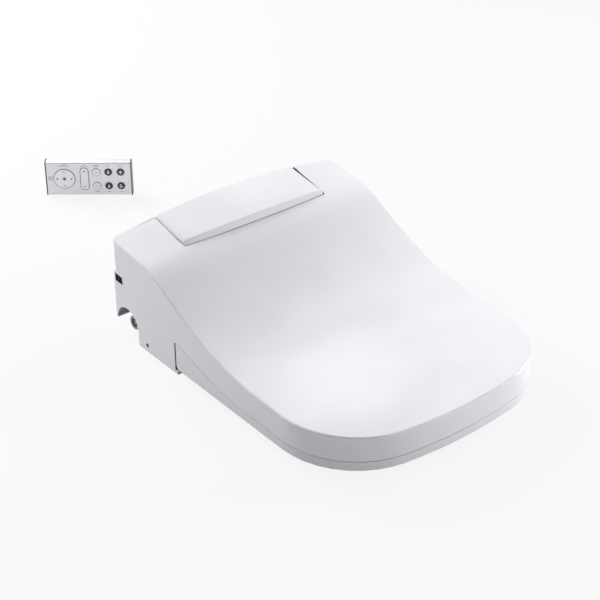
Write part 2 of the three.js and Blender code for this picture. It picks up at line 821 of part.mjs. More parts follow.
function rearCase() {
  const outerLow = prismX(caseProfile(0), -caseHalfWidth, caseHalfWidth).intersect(
    prismZ(casePlan(0), -1, beyond),
  );
  const innerLow = prismX(caseProfile(caseWall), caseWall - caseHalfWidth, caseHalfWidth - caseWall);
  const pillarInner = pillarHalfWidth - caseWall;
  const pillar = block(
    -pillarHalfWidth, pillarHalfWidth, pillarFrontY, pillarBackY, shelfZ - 20, pillarTop,
  );
  const pillarRoom = block(
    -pillarInner, pillarInner, pillarFrontY + caseWall, pillarBackY - caseWall, 10, pillarTop - caseWall,
  );
  let body = outerLow.add(pillar).subtract(innerLow).subtract(pillarRoom);
  // walls round the inlet notch
  const archWall = prismX(archProfile(caseWall), -caseHalfWidth, archInnerX + caseWall);
  body = body.add(archWall.intersect(outerLow)).subtract(prismX(archProfile(0), -beyond, archInnerX));
  body = body.subtract(bar("x", inletRadius + fit, -beyond, valveFrom, [inletY, inletZ], 20));
  // hinge lugs on the saddle, and ribs for the dampers inside the pillar
  const foot = (from, to) =>
    block(from, to, hingeY - lugFoot, hingeY + lugFoot, saddleZ - 1, hingeZ).add(barrelAt(from, to));
  const lugs = foot(outerLugFrom, outerLugTo).add(foot(innerLugFrom, innerLugTo));
  const ribs = [damperEnd - damperLength + 4, damperEnd - 10].map((x) =>
    block(x, x + 6, hingeY - 12, pillarBackY - 1, saddleZ - 15, hingeZ - damperRadius - fit),
  );
  const side = ribs.reduce((all, rib) => all.add(rib), lugs);
  body = body.add(side).add(mirrored(side));
  const bores = boreAt(pillarInner - 1, beyond);
  body = body.subtract(bores).subtract(mirrored(bores));
  // openings: wands, dryer outlet, switch, screws, release button and cord gland
  const wandSlot = block(
    -wandX - 10, wandX + 10,
    caseFrontY - 1, caseFrontY + caseWall + 1,
    wandTipZ - wandSlotBelow, wandTipZ + wandSlotAbove,
  );
  const outlet = block(
    dryerX - dryerHalfWidth + dryerWall, dryerX + dryerHalfWidth - dryerWall,
    caseFrontY - 1, caseFrontY + caseWall + 1, outletBottom, outletTop,
  );
  const switchHole = block(
    -beyond, switchDepth + 1 - caseHalfWidth, switchY - switchLength / 2, switchY + switchLength / 2,
    switchZ - switchHeight / 2, switchZ + switchHeight / 2,
  );
  const screwHole = bar("x", screwRadius, caseHalfWidth - 1.6, beyond, [screwY, screwZ], 16).add(
    bar("x", screwShank + 0.4, caseHalfWidth - 8, beyond, [screwY, screwZ], 12),
  );
  const releaseHole = block(
    caseHalfWidth - 6, beyond,
    releaseY - releaseHalfLength - fit, releaseY + releaseHalfLength + fit,
    releaseZ - releaseHalfHeight - fit, releaseZ + releaseHalfHeight + fit,
  );
  const gland = bar("y", glandRadius + fit, caseBackY - 6, beyond, [glandX, glandZ], 20);
  const ears = [-1, 1].map((end) => {
    const x = dryerX + end * (dryerHalfWidth + 1);
    return block(x - 1.2, x + 1.2, flapHingeY - 2.4, caseFrontY + 1, flapHingeZ - 2.4, flapHingeZ + 3)
      .subtract(bar("x", 1.3, x - 3, x + 3, [flapHingeY, flapHingeZ], 10));
  });
  for (const cut of [wandSlot, outlet, switchHole, screwHole, mirrored(screwHole), releaseHole, gland]) {
    body = body.subtract(cut);
  }
  return body.add(ears[0]).add(ears[1]);
}

// The fixed cover between the lid's shoulders, on stations from its ends to its middle: away from
// the end, set back at the corner, and fall of the rounded end. Inset draws the form inwards.
function panelForm(stations, inset) {
  const bottom = inset > 0 ? panelBottom - 2 : panelBottom;
  const brow = panelBevelDepth + inset * 0.4;
  const height = (x, y) => {
    const front = panelFrontHeight + panelCrown * (1 - (x / panelHalfWidth) ** 2);
    const back = lidBackHeight + lidCrownBack * (1 - (x / lidHalfWidth) ** 2);
    const start = panelFront(x) + panelBevelDepth;
    return front + ((back - front) * (y - start)) / (lidBackY - start) - inset;
  };
  const right = stations.map(([away, setBack, fall]) => [panelHalfWidth - inset - away, setBack, fall]);
  const sections = [...right, [0, 0, 0], ...flip(right).reverse()].map(([x, setBack, fall]) => {
    const front = panelFront(x) + inset + setBack;
    const crest = panelFront(x) + brow;
    const back = lidBackY - inset;
    const at = (y, drop) => [x, y, height(x, y) - fall - drop];
    return [
      [x, front, bottom],
      [x, front, panelBottom + 0.8],
      at(crest - 0.6, 0.6),
      at(crest + 1.2, 0),
      at((crest + back) / 2, 0),
      at(back - 1, 0),
      at(back, 1),
      [x, back, bottom],
    ];
  });
  return sectionLoft(sections);
}

function topPanel() {
  const middle = [
    [6, 0, 0.4],
    [14, 0, 0.1],
    [35, 0, 0],
    [75, 0, 0],
  ];
  const end = [
    [0, 2.6, 3.4],
    [0.8, 1, 2.3],
    [2.6, 0.1, 1.2],
  ];
  return panelForm([...end, ...middle], 0).subtract(panelForm(middle, panelWall));
}

// The tray that closes the housing from below and slides over the mounting plate.
function baseTray() {
  const top = trayGap + trayThickness;
  const pocketX = plateHalfLength + 1;
  const pocketHalf = plateHalfWidth + 1;
  const roof = plateThickness + 2 * fit;
  const hat = block(
    -pocketX - 2, pocketX + 2, -pocketHalf - 2, pocketHalf + 2, trayGap, hatZ - fit,
  );
  const archRoom = block(
    -beyond, archInnerX + caseWall + fit, archY - archRadius - caseWall - fit, beyond, -1, hingeZ,
  );
  let tray = prismZ(casePlan(caseWall + fit), trayGap, top)
    .add(hat)
    .subtract(block(-pocketX, pocketX, -pocketHalf, pocketHalf, -1, roof))
    .subtract(archRoom);
  // bosses for the side screws, and a stiffening rib along the front and back
  const bossTo = caseHalfWidth - caseWall - fit;
  const bossFrom = bossTo - screwBoss;
  const boss = block(bossFrom, bossTo, screwY - 5, screwY + 5, trayGap, screwZ + 6).subtract(
    bar("x", screwShank + 0.4, bossFrom - 4, beyond, [screwY, screwZ], 12),
  );
  tray = tray.add(boss).add(mirrored(boss));
  for (const y of [caseFrontY + 8.2, caseBackY - 8]) {
    tray = tray.add(block(-pocketX + 6, pocketX - 6, y - 1, y + 1, trayGap, top + 4));
  }
  return tray;
}

// ======== fixing ========

function mountingPlate() {
  const outline = roundedRectangle(0, 0, plateHalfLength, plateHalfWidth, plateCornerRadius);
  let plate = prismZ(outline, 0, plateThickness);
  for (const x of [-slotSpacing / 2, slotSpacing / 2]) {
    const seat = bar("z", adjusterRadius + fit, plateThickness - adjusterThickness - fit, beyond, [x, 0], 24);
    const slot = roundedRectangle(x, 0, slotHalfLength, slotHalfWidth, slotHalfWidth - 0.1);
    plate = plate.subtract(seat).subtract(prismZ(slot, -1, beyond));
  }
  // two shallow pockets between the slots
  for (const y of [-14, 14]) {
    plate = plate.subtract(block(-45, 45, y - 5, y + 5, plateThickness / 2, beyond));
  }
  return plate;
}

function adjuster(x) {
  const disc = bar("z", adjusterRadius, plateThickness - adjusterThickness, plateThickness, [x, 0], 24);
  const slot = roundedRectangle(x, 0, slotHalfWidth - 1, 10, slotHalfWidth - 1.1);
  return disc.subtract(prismZ(slot, -1, beyond));
}

// ======== wands ========

const guardHalfWidth = 44;
const guardFrontY = -77;
const guardTop = 46;
const guardBottom = 9;
const nozzleFrame = new THREE.Matrix4()
  .makeTranslation(0, wandTipY, wandTipZ)
  .multiply(new THREE.Matrix4().makeRotationX(THREE.MathUtils.degToRad(wandTilt)));
function sprayGuard() {
  const back = caseFrontY - fit;
  const profile = (inset) => [
    [back + (inset > 0 ? 1 : 0), guardBottom + inset],
    [guardFrontY + 6 + inset, guardBottom + inset],
    [guardFrontY + inset, guardBottom + 6 + inset],
    [guardFrontY + inset, guardTop - 12 - inset],
    [guardFrontY + 5 + inset, guardTop - 4 - inset],
    [guardFrontY + 12 + inset, guardTop - inset],
    [back + (inset > 0 ? 1 : 0), guardTop - inset],
  ];
  let guard = prismX(profile(0), -guardHalfWidth, guardHalfWidth).subtract(
    prismX(profile(guardWall), guardWall - guardHalfWidth, guardHalfWidth - guardWall),
  );
  for (const x of [-wandX, wandX]) {
    const sleeve = placed(bar("y", wandRadius + sleeveWall, -14, 20, [x, 0], 16), nozzleFrame);
    const bore = placed(bar("y", wandRadius + fit, -30, 40, [x, 0], 20), nozzleFrame);
    const form = prismX(profile(0), -guardHalfWidth, guardHalfWidth);
    guard = guard.add(sleeve.intersect(form)).subtract(bore);
  }
  return guard;
}

function wand(x, holes) {
  const chamfer = 1.5;
  let body = bar("y", wandRadius, chamfer, wandLength, [x, 0], 20).add(
    bar("y", wandRadius - chamfer, 0, chamfer, [x, 0], 20, wandRadius),
  );
  for (const y of holes) {
    body = body.subtract(bar("z", nozzleHoleRadius, wandRadius / 2, 20, [x, y], 8));
  }
  return placed(body, nozzleFrame);
}

// The trough that the wands slide in, on a post from the tray.
function cradle() {
  const lean = Math.cos(THREE.MathUtils.degToRad(wandTilt));
  const from = (caseFrontY + caseWall + 2 * fit - wandTipY) / lean + 1;
  const floor = -wandRadius - fit;
  let trough = block(-cradleHalfWidth, cradleHalfWidth, from, cradleBack, floor - cradleWall, floor);
  trough = trough.add(block(-2, 2, from, cradleBack, floor - 1, 0));
  for (const side of [-1, 1]) {
    const x = side * (cradleHalfWidth - cradleWall / 2);
    trough = trough.add(block(x - cradleWall / 2, x + cradleWall / 2, from, cradleBack, floor - 1, 2));
  }
  const post = block(-14, 14, -14, -4, hatZ, wandTipZ + 15);
  return placed(trough, nozzleFrame).add(post);
}

// ======== works inside the housing ========

function heaterTank() {
  const outline = roundedRectangle(tankX, tankY, tankHalfWidth, tankHalfWidth, tankCornerRadius);
  const port = (x, y) => bar("z", 5, tankTop - 6, tankTop + 10, [x, y], 14);
  return prismZ(outline, hatZ, tankTop)
    .add(port(tankX - 15, tankY + 22))
    .add(port(tankX + 17, tankY + 22))
    .add(bar("z", 16, tankTop - 6, tankTop + 4, [tankX, tankY - 10], 20));
}

function inletValve() {
  const body = block(valveFrom, valveTo, inletY - valveHalfWidth, inletY + valveHalfWidth, floorZ, valveTop);
  return body
    .add(bar("z", 9, valveTop - 6, valveTop + 8, [valveTo - 10, inletY], 16))
    .add(bar("z", 5, valveTop - 6, valveTop + 4, [valveFrom + 12, inletY], 12));
}

function waterPump() {
  const from = valveTo + pumpGap;
  const to = from + pumpLength;
  const axisZ = floorZ + pumpRadius + fit;
  return bar("x", pumpRadius, from, to, [inletY, axisZ], 20)
    .add(block(from, to, inletY - 10, inletY + 10, floorZ, axisZ))
    .add(bar("z", 4, axisZ, axisZ + pumpRadius + 7, [to - 10, inletY], 12));
}

function waterInlet() {
  const along = (radius, from, to, sides) => bar("x", radius, from, to, [inletY, inletZ], sides);
  const nutTo = archInnerX - fit;
  const nutFrom = nutTo - nutLength;
  let threaded = along(inletRadius, inletTip, valveFrom - fit, 18)
    .add(along(inletRadius + nutStep, nutFrom, nutTo, 6));
  for (let x = inletTip + 2; x < nutFrom - 2; x += threadPitch) {
    const groove = along(inletRadius + 1, x, x + threadPitch / 2, 18);
    const core = along(inletRadius - threadDepth, x - 1, x + threadPitch, 18);
    threaded = threaded.subtract(groove.subtract(core));
  }
  return threaded.subtract(along(inletBore, inletTip - 1, nutTo, 18));
}

function inletGasket() {
  const from = inletTip + 0.5;
  return bar("x", inletBore - fit, from, from + gasketLength, [inletY, inletZ], 18).subtract(
    bar("x", gasketBore, from - 1, from + gasketLength + 1, [inletY, inletZ], 14),
  );
}

function dryerHousing() {
  const x0 = dryerX - dryerHalfWidth;
  const x1 = dryerX + dryerHalfWidth;
  const duct = (inset, front) =>
    block(
      x0 + inset, x1 - inset,
      front, dryerY,
      outletBottom - dryerWall + inset, outletTop + dryerWall - inset,
    );
  const outer = bar("x", dryerRadius, x0, x1, [dryerY, dryerZ], 26)
    .add(duct(0, caseFrontY + caseWall + fit))
    .add(block(x0 + 4, x1 - 4, dryerY - 10, dryerY + 10, hatZ, outletBottom + 4));
  const inner = bar("x", dryerRadius - dryerWall, x0 + dryerWall, x1 - dryerWall, [dryerY, dryerZ], 26);
  return outer
    .subtract(inner)
    .subtract(duct(dryerWall, caseFrontY - 5))
    .subtract(bar("x", impellerRadius - 6, x1 - 5, x1 + 5, [dryerY, dryerZ], 20))
    .subtract(bar("x", 3.3, x0 - 5, x0 + 5, [dryerY, dryerZ], 12));
}

function impeller() {
  const x0 = dryerX - dryerHalfWidth + dryerWall + 1;
  const x1 = dryerX + dryerHalfWidth - dryerWall - 2;
  let wheel = bar("x", impellerRadius, x0, x0 + 2, [dryerY, dryerZ], 24)
    .add(bar("x", 7, x0, x1 - 3, [dryerY, dryerZ], 16, 5))
    .add(bar("x", 3, x0 - 5.5, x0 + 1, [dryerY, dryerZ], 12));
  for (let i = 0; i < impellerBlades; i++) {
    const blade = block(x0 + 1, x1, -0.8, 0.8, impellerRadius - 10, impellerRadius);
    const turn = new THREE.Matrix4()
      .makeTranslation(0, dryerY, dryerZ)
      .multiply(new THREE.Matrix4().makeRotationX((2 * i * Math.PI) / impellerBlades));
    wheel = wheel.add(placed(blade, turn));
  }
  return wheel;
}

function dryerFlap() {
  const x0 = dryerX - dryerHalfWidth;
  const x1 = dryerX + dryerHalfWidth;
  const back = caseFrontY - fit;
  return block(x0 + 0.4, x1 - 0.4, back - flapThickness, back, outletBottom - 1.5, flapHingeZ)
    .add(bar("x", 1.9, x0 + 0.2, x1 - 0.2, [flapHingeY, flapHingeZ], 12))
    .add(bar("x", 1, x0 - 2, x1 + 2, [flapHingeY, flapHingeZ], 8));
}

// The board on its four feet, with a transformer, a relay, two capacitors and a row of sockets.
function controlBoard() {
  const from = plateHalfLength + boardGap;
  const to = caseHalfWidth - boardSetback;
  const top = boardZ + boardThickness;
  const part = (x, y, length, width, height) =>
    block(x, x + length, y, y + width, top - 0.6, top + height);
  let board = block(from, to, boardFrontY, boardBackY, boardZ, top);
  for (const x of [from + 4, to - 4]) {
    for (const y of [boardFrontY + 4, boardBackY - 4]) {
      board = board.add(bar("z", 3, floorZ, boardZ + 0.5, [x, y], 10));
    }
  }
  board = board
    .add(part(from + 4, boardFrontY + 6, ...transformer))
    .add(part(from + 34, boardFrontY + 8, ...relay));
  for (const y of [boardFrontY + 14, boardFrontY + 28]) {
    board = board.add(bar("z", capacitorRadius, top - 0.6, top + capacitorHeight, [to - 10, y], 12));
  }
  for (let x = from + 6; x + socketSide < to - 18; x += socketPitch) {
    board = board.add(part(x, boardBackY - 10, socketSide, socketSide, socketHeight));
  }
  return board;
}

// ======== power switch, screws, release button and cord gland ========

const switchWellHalf = switchLength / 2 - fit - switchWall;
const switchWellHeight = switchHeight / 2 - fit - switchWall;

function switchBody() {
  const at = (depth0, depth1, dy, dz) =>
    block(
      depth0 - caseHalfWidth, depth1 - caseHalfWidth,
      switchY - dy, switchY + dy,
      switchZ - dz, switchZ + dz,
    );
  const body = at(0.2, switchDepth, switchLength / 2 - fit, switchHeight / 2 - fit);
  return body.subtract(at(-1, switchWell, switchWellHalf, switchWellHeight));
}

// The rocker: hollowed a little between its two pads, tipped to one side.
function powerRocker() {
  const half = switchWellHalf - 0.7;
  const halfHeight = switchWellHeight - 0.6;
  const outline = [
    [half, -2.4],
    [half, 4.6],
    [0, 3.7],
    [-half, 4.6],
    [-half, -2.4],
  ];
  const body = prismZ(outline.map(([y, out]) => [-out, y]), -halfHeight, halfHeight);
  const place = new THREE.Matrix4()
    .makeTranslation(rockerSetback - caseHalfWidth, switchY, switchZ)
    .multiply(new THREE.Matrix4().makeRotationZ(THREE.MathUtils.degToRad(rockerTilt)));
  return placed(body, place);
}

function sideScrew() {
  const at = (radius, from, to, sides) => bar("x", radius, from, to, [screwY, screwZ], sides);
  return at(screwRadius - fit, caseHalfWidth - 1.3, caseHalfWidth - 0.2, 16)
    .add(at(screwShank, caseHalfWidth - screwLength, caseHalfWidth - 1, 12))
    .subtract(at(1.2, caseHalfWidth - 0.9, caseHalfWidth + 1, 6));
}

function releaseButton() {
  const body = roundedRectangle(releaseY, releaseZ, releaseHalfLength, releaseHalfHeight, 3.5);
  return prismX(body, caseHalfWidth - 9, caseHalfWidth + releaseTravel + 1).add(
    block(
      caseHalfWidth - releaseTongue, caseHalfWidth - 8,
      releaseY - 6, releaseY + 6,
      releaseZ - 3, releaseZ + 3,
    ),
  );
}

function cordGland() {
  const at = (radius, from, to) => bar("y", radius, from, to, [glandX, glandZ], 16);
  return at(glandRadius, caseBackY - 6, caseBackY + 1)
    .add(at(glandRadius + 2.5, caseBackY + fit, caseBackY + 2.6))
    .subtract(at(glandBore, caseBackY - 9, caseBackY + 9));
}

// ======== remote control, standing on its long edge ========

function remoteBlock(inset, front, back) {
  const reach = remoteLength / 2 - trimThickness - fit - inset;
  const outline = roundedRectangle(
    remoteThickness / 2,
    remoteHeight / 2,
    remoteThickness / 2 - inset,
    remoteHeight / 2 - inset,
    remoteEdgeRadius - inset * 0.6,
    3,
  );
  return prismX(outline, -reach, reach).intersect(block(-beyond, beyond, front, back, -1, beyond));
}

// The plate that closes an end of the remote and stands a little proud of its faces.
function endTrim() {
  const half = (remoteHeight + trimProud) / 2;
  const outline = roundedRectangle(remoteThickness / 2, half, remoteThickness / 2 + trimProud, half, 2, 3);
  return prismX(outline, remoteLength / 2 - trimThickness, remoteLength / 2);
}

function remoteFront() {
  let front = remoteBlock(0, 0, remoteFrontDepth).subtract(remoteBlock(remoteWall, remoteWall, beyond));
  front = front.subtract(bar("y", padRadius + fit, -5, 5, [padX, padZ], 28));
  const slot = roundedRectangle(
    rockerX, padZ, rockerHalfWidth + fit, rockerHalfHeight + fit, rockerHalfWidth,
  );
  front = front.subtract(prismY(slot, -5, 5));
  for (const x of keyColumns) {
    for (const z of keyRows) front = front.subtract(bar("y", keyRadius + fit, -5, 5, [x, z], 16));
  }
  return front;
}

function remoteBack() {
  const middle = remoteHeight / 2 - 3;
  return remoteBlock(0, remoteFrontDepth + fit, remoteThickness)
    .subtract(remoteBlock(remoteWall, -5, remoteThickness - remoteWall))
    .subtract(
      block(
        -batteryHalfLength, batteryHalfLength,
        -5, beyond,
        middle - batteryHalfHeight, middle + batteryHalfHeight,
      ),
    );
}

function batteryCover() {
  const middle = remoteHeight / 2 - 3;
  const half = batteryHalfLength - fit;
  const halfHeight = batteryHalfHeight - fit;
  const front = remoteThickness - batteryCoverThickness;
  return block(-half, half, front, remoteThickness, middle - halfHeight, middle + halfHeight);
}

// A round key that stands 1 mm proud, with a flange behind the shell's front wall.
function key(x, z, radius, sides) {
  return bar("y", radius, -1, keyPlate + keyBase, [x, z], sides).add(
    bar("y", radius + keyFlange, keyPlate, keyPlate + keyBase, [x, z], sides),
  );
}

// ======== assembly ========

piece("mounting_plate", mountingPlate(), "plastic", baseGroup);
piece("slot_adjuster_left", adjuster(-slotSpacing / 2), "black", baseGroup);
piece("slot_adjuster_right", adjuster(slotSpacing / 2), "black", baseGroup);
piece("base_tray", baseTray(), "plastic", baseGroup);
piece("rear_case", rearCase(), "shell", baseGroup);
piece("top_panel", topPanel(), "panel", baseGroup);
piece("spray_guard", sprayGuard(), "plastic", baseGroup);
piece("wand_cradle", cradle(), "plastic", baseGroup);
piece("rear_wand", wand(-wandX, [6, 9.5]), "steel", baseGroup);
piece("front_wand", wand(wandX, [6, 9.5, 13]), "steel", baseGroup);
piece("water_inlet", waterInlet(), "steel", baseGroup);
piece("inlet_gasket", inletGasket(), "black", baseGroup);
piece("inlet_valve", inletValve(), "plastic", baseGroup);
piece("water_pump", waterPump(), "black", baseGroup);
piece("heater_tank", heaterTank(), "plastic", baseGroup);
piece("dryer_housing", dryerHousing(), "black", baseGroup);
piece("dryer_impeller", impeller(), "plastic", baseGroup);
piece("dryer_flap", dryerFlap(), "plastic", baseGroup);
piece("control_board", controlBoard(), "board", baseGroup);
piece("switch_body", switchBody(), "black", baseGroup);
piece("power_rocker", powerRocker(), "black", baseGroup);
piece("side_screw_right", sideScrew(), "black", baseGroup);
piece("side_screw_left", mirrored(sideScrew()), "black", baseGroup);
piece("release_button", releaseButton(), "key", baseGroup);
piece("cord_gland", cordGland(), "black", baseGroup);

const pin = bar("x", hingePinRadius, damperEnd + fit, outerLugTo - 0.4, [hingeY, hingeZ], 16);
const damper = bar("x", damperRadius, damperEnd - damperLength, damperEnd, [hingeY, hingeZ], 16);
piece("hinge_pin_right", pin, "steel", baseGroup);
piece("hinge_pin_left", mirrored(pin), "steel", baseGroup);
piece("seat_damper", damper, "black", baseGroup);
piece("lid_damper", mirrored(damper), "black", baseGroup);

piece("lid_shell", lidShell(), "shell", lidGroup);
const lidBufferFoot = lidFlatHeight - seatDrop + fit;
const lidBufferPlaces = [
  [lidHalfWidth - lidBufferSide, openingCentreY - lidBufferBack],
  [frontBufferX, lidFrontY + lidBufferFront],
];
lidBufferPlaces.forEach(([x, y], row) => {
  for (const [side, way] of [["right", 1], ["left", -1]]) {
    const post = bar("z", lidBufferRadius, lidBufferFoot, lidFlatHeight + 9, [way * x, y], 16);
    const body = post.intersect(lowered(lidInner, fit));
    piece(`lid_buffer_${["back", "front"][row]}_${side}`, body, "rubber", lidGroup);
  }
});

piece("seat_top_shell", seatShell(), "seat", seatGroup);
piece("seat_bottom_cover", seatCover(), "seat", seatGroup);
const seatBufferPlaces = [
  [lidHalfWidth - seatBufferSide, openingCentreY + seatBufferBack],
  [frontBufferX, lidFrontY + seatBufferFront],
];
seatBufferPlaces.forEach(([x, y], row) => {
  for (const [side, way] of [["right", 1], ["left", -1]]) {
    const outline = roundedRectangle(way * x, y, seatBufferWidth / 2, seatBufferLength / 2, 5);
    const foot = prismZ(outline, 0, seatBottom);
    piece(`seat_buffer_${["back", "front"][row]}_${side}`, foot, "rubber", seatGroup);
  }
});

remoteGroup.position.set(remoteX, remoteY, 0);
remoteGroup.rotation.z = THREE.MathUtils.degToRad(remoteTurn);
piece("remote_front_shell", remoteFront(), "remote", remoteGroup);
piece("remote_back_shell", remoteBack(), "remote", remoteGroup);
piece("battery_cover", batteryCover(), "remote", remoteGroup);
piece("end_trim_right", endTrim(), "trim", remoteGroup);
piece("end_trim_left", mirrored(endTrim()), "trim", remoteGroup);
const padRing = key(padX, padZ, padRadius, 28).subtract(
  bar("y", padCentreRadius + fit, -5, 9, [padX, padZ], 16),
);
piece("pad_ring", padRing, "key", remoteGroup);
const padCentre = bar("y", padCentreRadius, -1.2, keyPlate + keyBase, [padX, padZ], 16);
piece("pad_centre_key", padCentre, "darkKey", remoteGroup);
const rocker = prismY(
  roundedRectangle(rockerX, padZ, rockerHalfWidth, rockerHalfHeight, rockerHalfWidth - 0.2),
  -1,
  keyPlate + keyBase,
).add(block(rockerX - 7.4, rockerX + 7.4, keyPlate, keyPlate + keyBase, padZ - 5, padZ + 5));
piece("rocker_key", rocker, "key", remoteGroup);
keyColumns.forEach((x, column) => {
  keyRows.forEach((z, row) => {
    const name = `${["pale", "dark_inner", "dark_outer"][column]}_key_${["top", "bottom"][row]}`;
    piece(name, key(x, z, keyRadius, 14), column ? "darkKey" : "key", remoteGroup);
  });
});
const keypadHalfLength = remoteLength / 2 - trimThickness - remoteWall - 2 * fit;
const keypadFront = keyPlate + keyBase + keyTravel + fit;
const keypad = block(
  -keypadHalfLength, keypadHalfLength,
  keypadFront, keypadFront + keypadThickness,
  keyPlate, remoteHeight - keyPlate,
);
piece("keypad_board", keypad, "board", remoteGroup);
const cellBack = remoteThickness - batteryCoverThickness - fit;
for (const [name, x] of [["cell_inner", cellX], ["cell_outer", -cellX]]) {
  const cell = bar("y", cellRadius, cellBack - cellThickness, cellBack, [x, remoteHeight / 2 - 3], 16);
  piece(name, cell, "steel", remoteGroup);
}

export default object;
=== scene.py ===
"""Electric bidet seat: finishes, printed marks, floor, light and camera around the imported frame."""

import json
import math

import bmesh
import bpy
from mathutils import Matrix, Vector
from mathutils.geometry import convex_hull_2d


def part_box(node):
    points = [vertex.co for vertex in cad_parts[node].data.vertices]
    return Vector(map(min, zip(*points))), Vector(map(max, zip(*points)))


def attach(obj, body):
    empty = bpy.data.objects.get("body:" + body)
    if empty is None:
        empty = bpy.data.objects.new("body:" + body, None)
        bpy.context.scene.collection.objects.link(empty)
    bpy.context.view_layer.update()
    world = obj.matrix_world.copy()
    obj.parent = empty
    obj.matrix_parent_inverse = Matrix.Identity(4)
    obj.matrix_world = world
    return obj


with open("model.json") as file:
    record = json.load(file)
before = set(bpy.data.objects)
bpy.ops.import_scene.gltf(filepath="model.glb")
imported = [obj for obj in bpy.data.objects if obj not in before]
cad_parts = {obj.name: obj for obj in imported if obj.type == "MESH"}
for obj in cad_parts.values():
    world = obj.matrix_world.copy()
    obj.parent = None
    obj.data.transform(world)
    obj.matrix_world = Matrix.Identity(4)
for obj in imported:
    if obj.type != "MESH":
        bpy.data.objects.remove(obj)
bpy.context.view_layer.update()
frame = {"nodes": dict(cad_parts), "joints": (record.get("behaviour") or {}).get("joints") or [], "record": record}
nodes = frame["nodes"]

# ---- node helpers ----


def linear(colour, alpha=1.0):
    """An sRGB hex colour as linear red, green, blue and alpha."""
    channels = [((colour >> shift) & 255) / 255 for shift in (16, 8, 0)]
    return [c / 12.92 if c <= 0.04045 else ((c + 0.055) / 1.055) ** 2.4 for c in channels] + [alpha]


def per_metre(millimetres):
    """A texture scale that puts one feature in this many millimetres."""
    return 1000 / millimetres


def add(material, kind, settings=None, links=None, ramp=None):
    """Adds a node with its settings, its input values and its links, and returns it."""
    tree = material.node_tree
    node = tree.nodes.new("ShaderNode" + kind)
    for name, value in (settings or {}).items():
        if isinstance(name, str) and name.islower():
            setattr(node, name, value)
        else:
            node.inputs[name].default_value = value
    for name, output in (links or {}).items():
        tree.links.new(output, node.inputs[name])
    if ramp:
        elements = node.color_ramp.elements
        while len(elements) < len(ramp):
            elements.new(0.5)
        for element, (place, value) in zip(elements, ramp):
            element.position = place
            element.color = value if isinstance(value, list) else [value, value, value, 1]
    return node


def finish_of(name, **surface):
    """A material with the plain values of its surface set on the shader. Returns it and the shader."""
    material = bpy.data.materials.new(name)
    material.use_nodes = True
    shader = material.node_tree.nodes["Principled BSDF"]
    for socket, value in surface.items():
        shader.inputs[socket.replace("_", " ")].default_value = value
    return material, shader


def wire(material, shader, **outputs):
    """Links node outputs to the shader's inputs."""
    for socket, output in outputs.items():
        material.node_tree.links.new(output, shader.inputs[socket.replace("_", " ")])


# ---- finishes ----


def even_skin(name, colour, shade, roughness, grain, relief, IOR=1.53, flow=70):
    """Moulded plastic, paint or ink: two close tones, uneven gloss and a fine relief."""
    material, shader = finish_of(name, IOR=IOR)
    place = add(material, "TexCoord").outputs["Object"]
    melt = add(material, "TexNoise", {"Scale": per_metre(flow), "Detail": 3.0}, {"Vector": place})
    tone = add(
        material, "ValToRGB", links={"Fac": melt.outputs["Fac"]},
        ramp=[(0.3, linear(colour)), (0.7, linear(shade))],
    )
    skin = add(material, "TexNoise", {"Scale": per_metre(grain), "Detail": 2.0}, {"Vector": place})
    gloss = add(
        material, "MapRange",
        {"From Min": 0.3, "From Max": 0.7, "To Min": roughness[0], "To Max": roughness[1]},
        {"Value": skin.outputs["Fac"]},
    )
    height = {"Height": skin.outputs["Fac"]}
    bump = add(material, "Bump", {"Strength": relief[0], "Distance": relief[1]}, height)
    wire(
        material, shader,
        Base_Color=tone.outputs["Color"], Roughness=gloss.outputs["Result"], Normal=bump.outputs["Normal"],
    )
    return material


# Along the rings the metal varies every few centimetres, and between them by this shade.
STREAK = 25
RING_SHADE = 0x101010


def turned_metal(name, colour, roughness, axis, pitch):
    """Metal turned on a lathe: fine rings round its axis that stretch the highlight."""
    material, shader = finish_of(name, Metallic=1.0, Anisotropic=0.5)
    place = add(material, "TexCoord").outputs["Object"]
    stretch = [per_metre(STREAK)] * 3
    stretch[axis] = per_metre(pitch)
    rings = add(material, "Mapping", {"Scale": stretch}, {"Vector": place})
    lines = add(material, "TexNoise", {"Scale": 1.0, "Detail": 4.0}, {"Vector": rings.outputs["Vector"]})
    tone = add(
        material, "ValToRGB", links={"Fac": lines.outputs["Fac"]},
        ramp=[(0.25, linear(colour - RING_SHADE)), (0.75, linear(colour))],
    )
    gloss = add(
        material, "MapRange",
        {"To Min": roughness[0], "To Max": roughness[1]},
        {"Value": lines.outputs["Fac"]},
    )
    bump = add(material, "Bump", {"Strength": 0.15, "Distance": 0.0001}, {"Height": lines.outputs["Fac"]})
    wire(
        material, shader,
        Base_Color=tone.outputs["Color"], Roughness=gloss.outputs["Result"], Normal=bump.outputs["Normal"],
    )
    return material


# White ABS from a polished tool: deep even gloss, and an orange peel that only reflections show.
gloss_white = even_skin("polished_white_abs", 0xF3F2F7, 0xEFEEF4, (0.13, 0.2), 2.5, (0.05, 0.0002))
# The seat is polypropylene, a little softer in gloss and less bright than the lid.
seat_white = even_skin(
    "satin_white_polypropylene", 0xF0EFF4, 0xECEBF1, (0.24, 0.28), 3.0, (0.01, 0.0001), IOR=1.49
)
# Spark eroded tool: an even matt grain. Real grain is 0.3 mm, drawn at 0.9 mm so that it shows.
frame_grey = even_skin(
    "grained_natural_polypropylene", 0xD6D7D9, 0xCDCED1, (0.42, 0.6), 0.9, (0.3, 0.0002), IOR=1.49
)
# The switch's black ABS is grained as well, so that no lamp shows in it.
black_abs = even_skin("grained_black_abs", 0x040405, 0x070708, (0.55, 0.68), 0.9, (0.2, 0.0002), IOR=1.4)
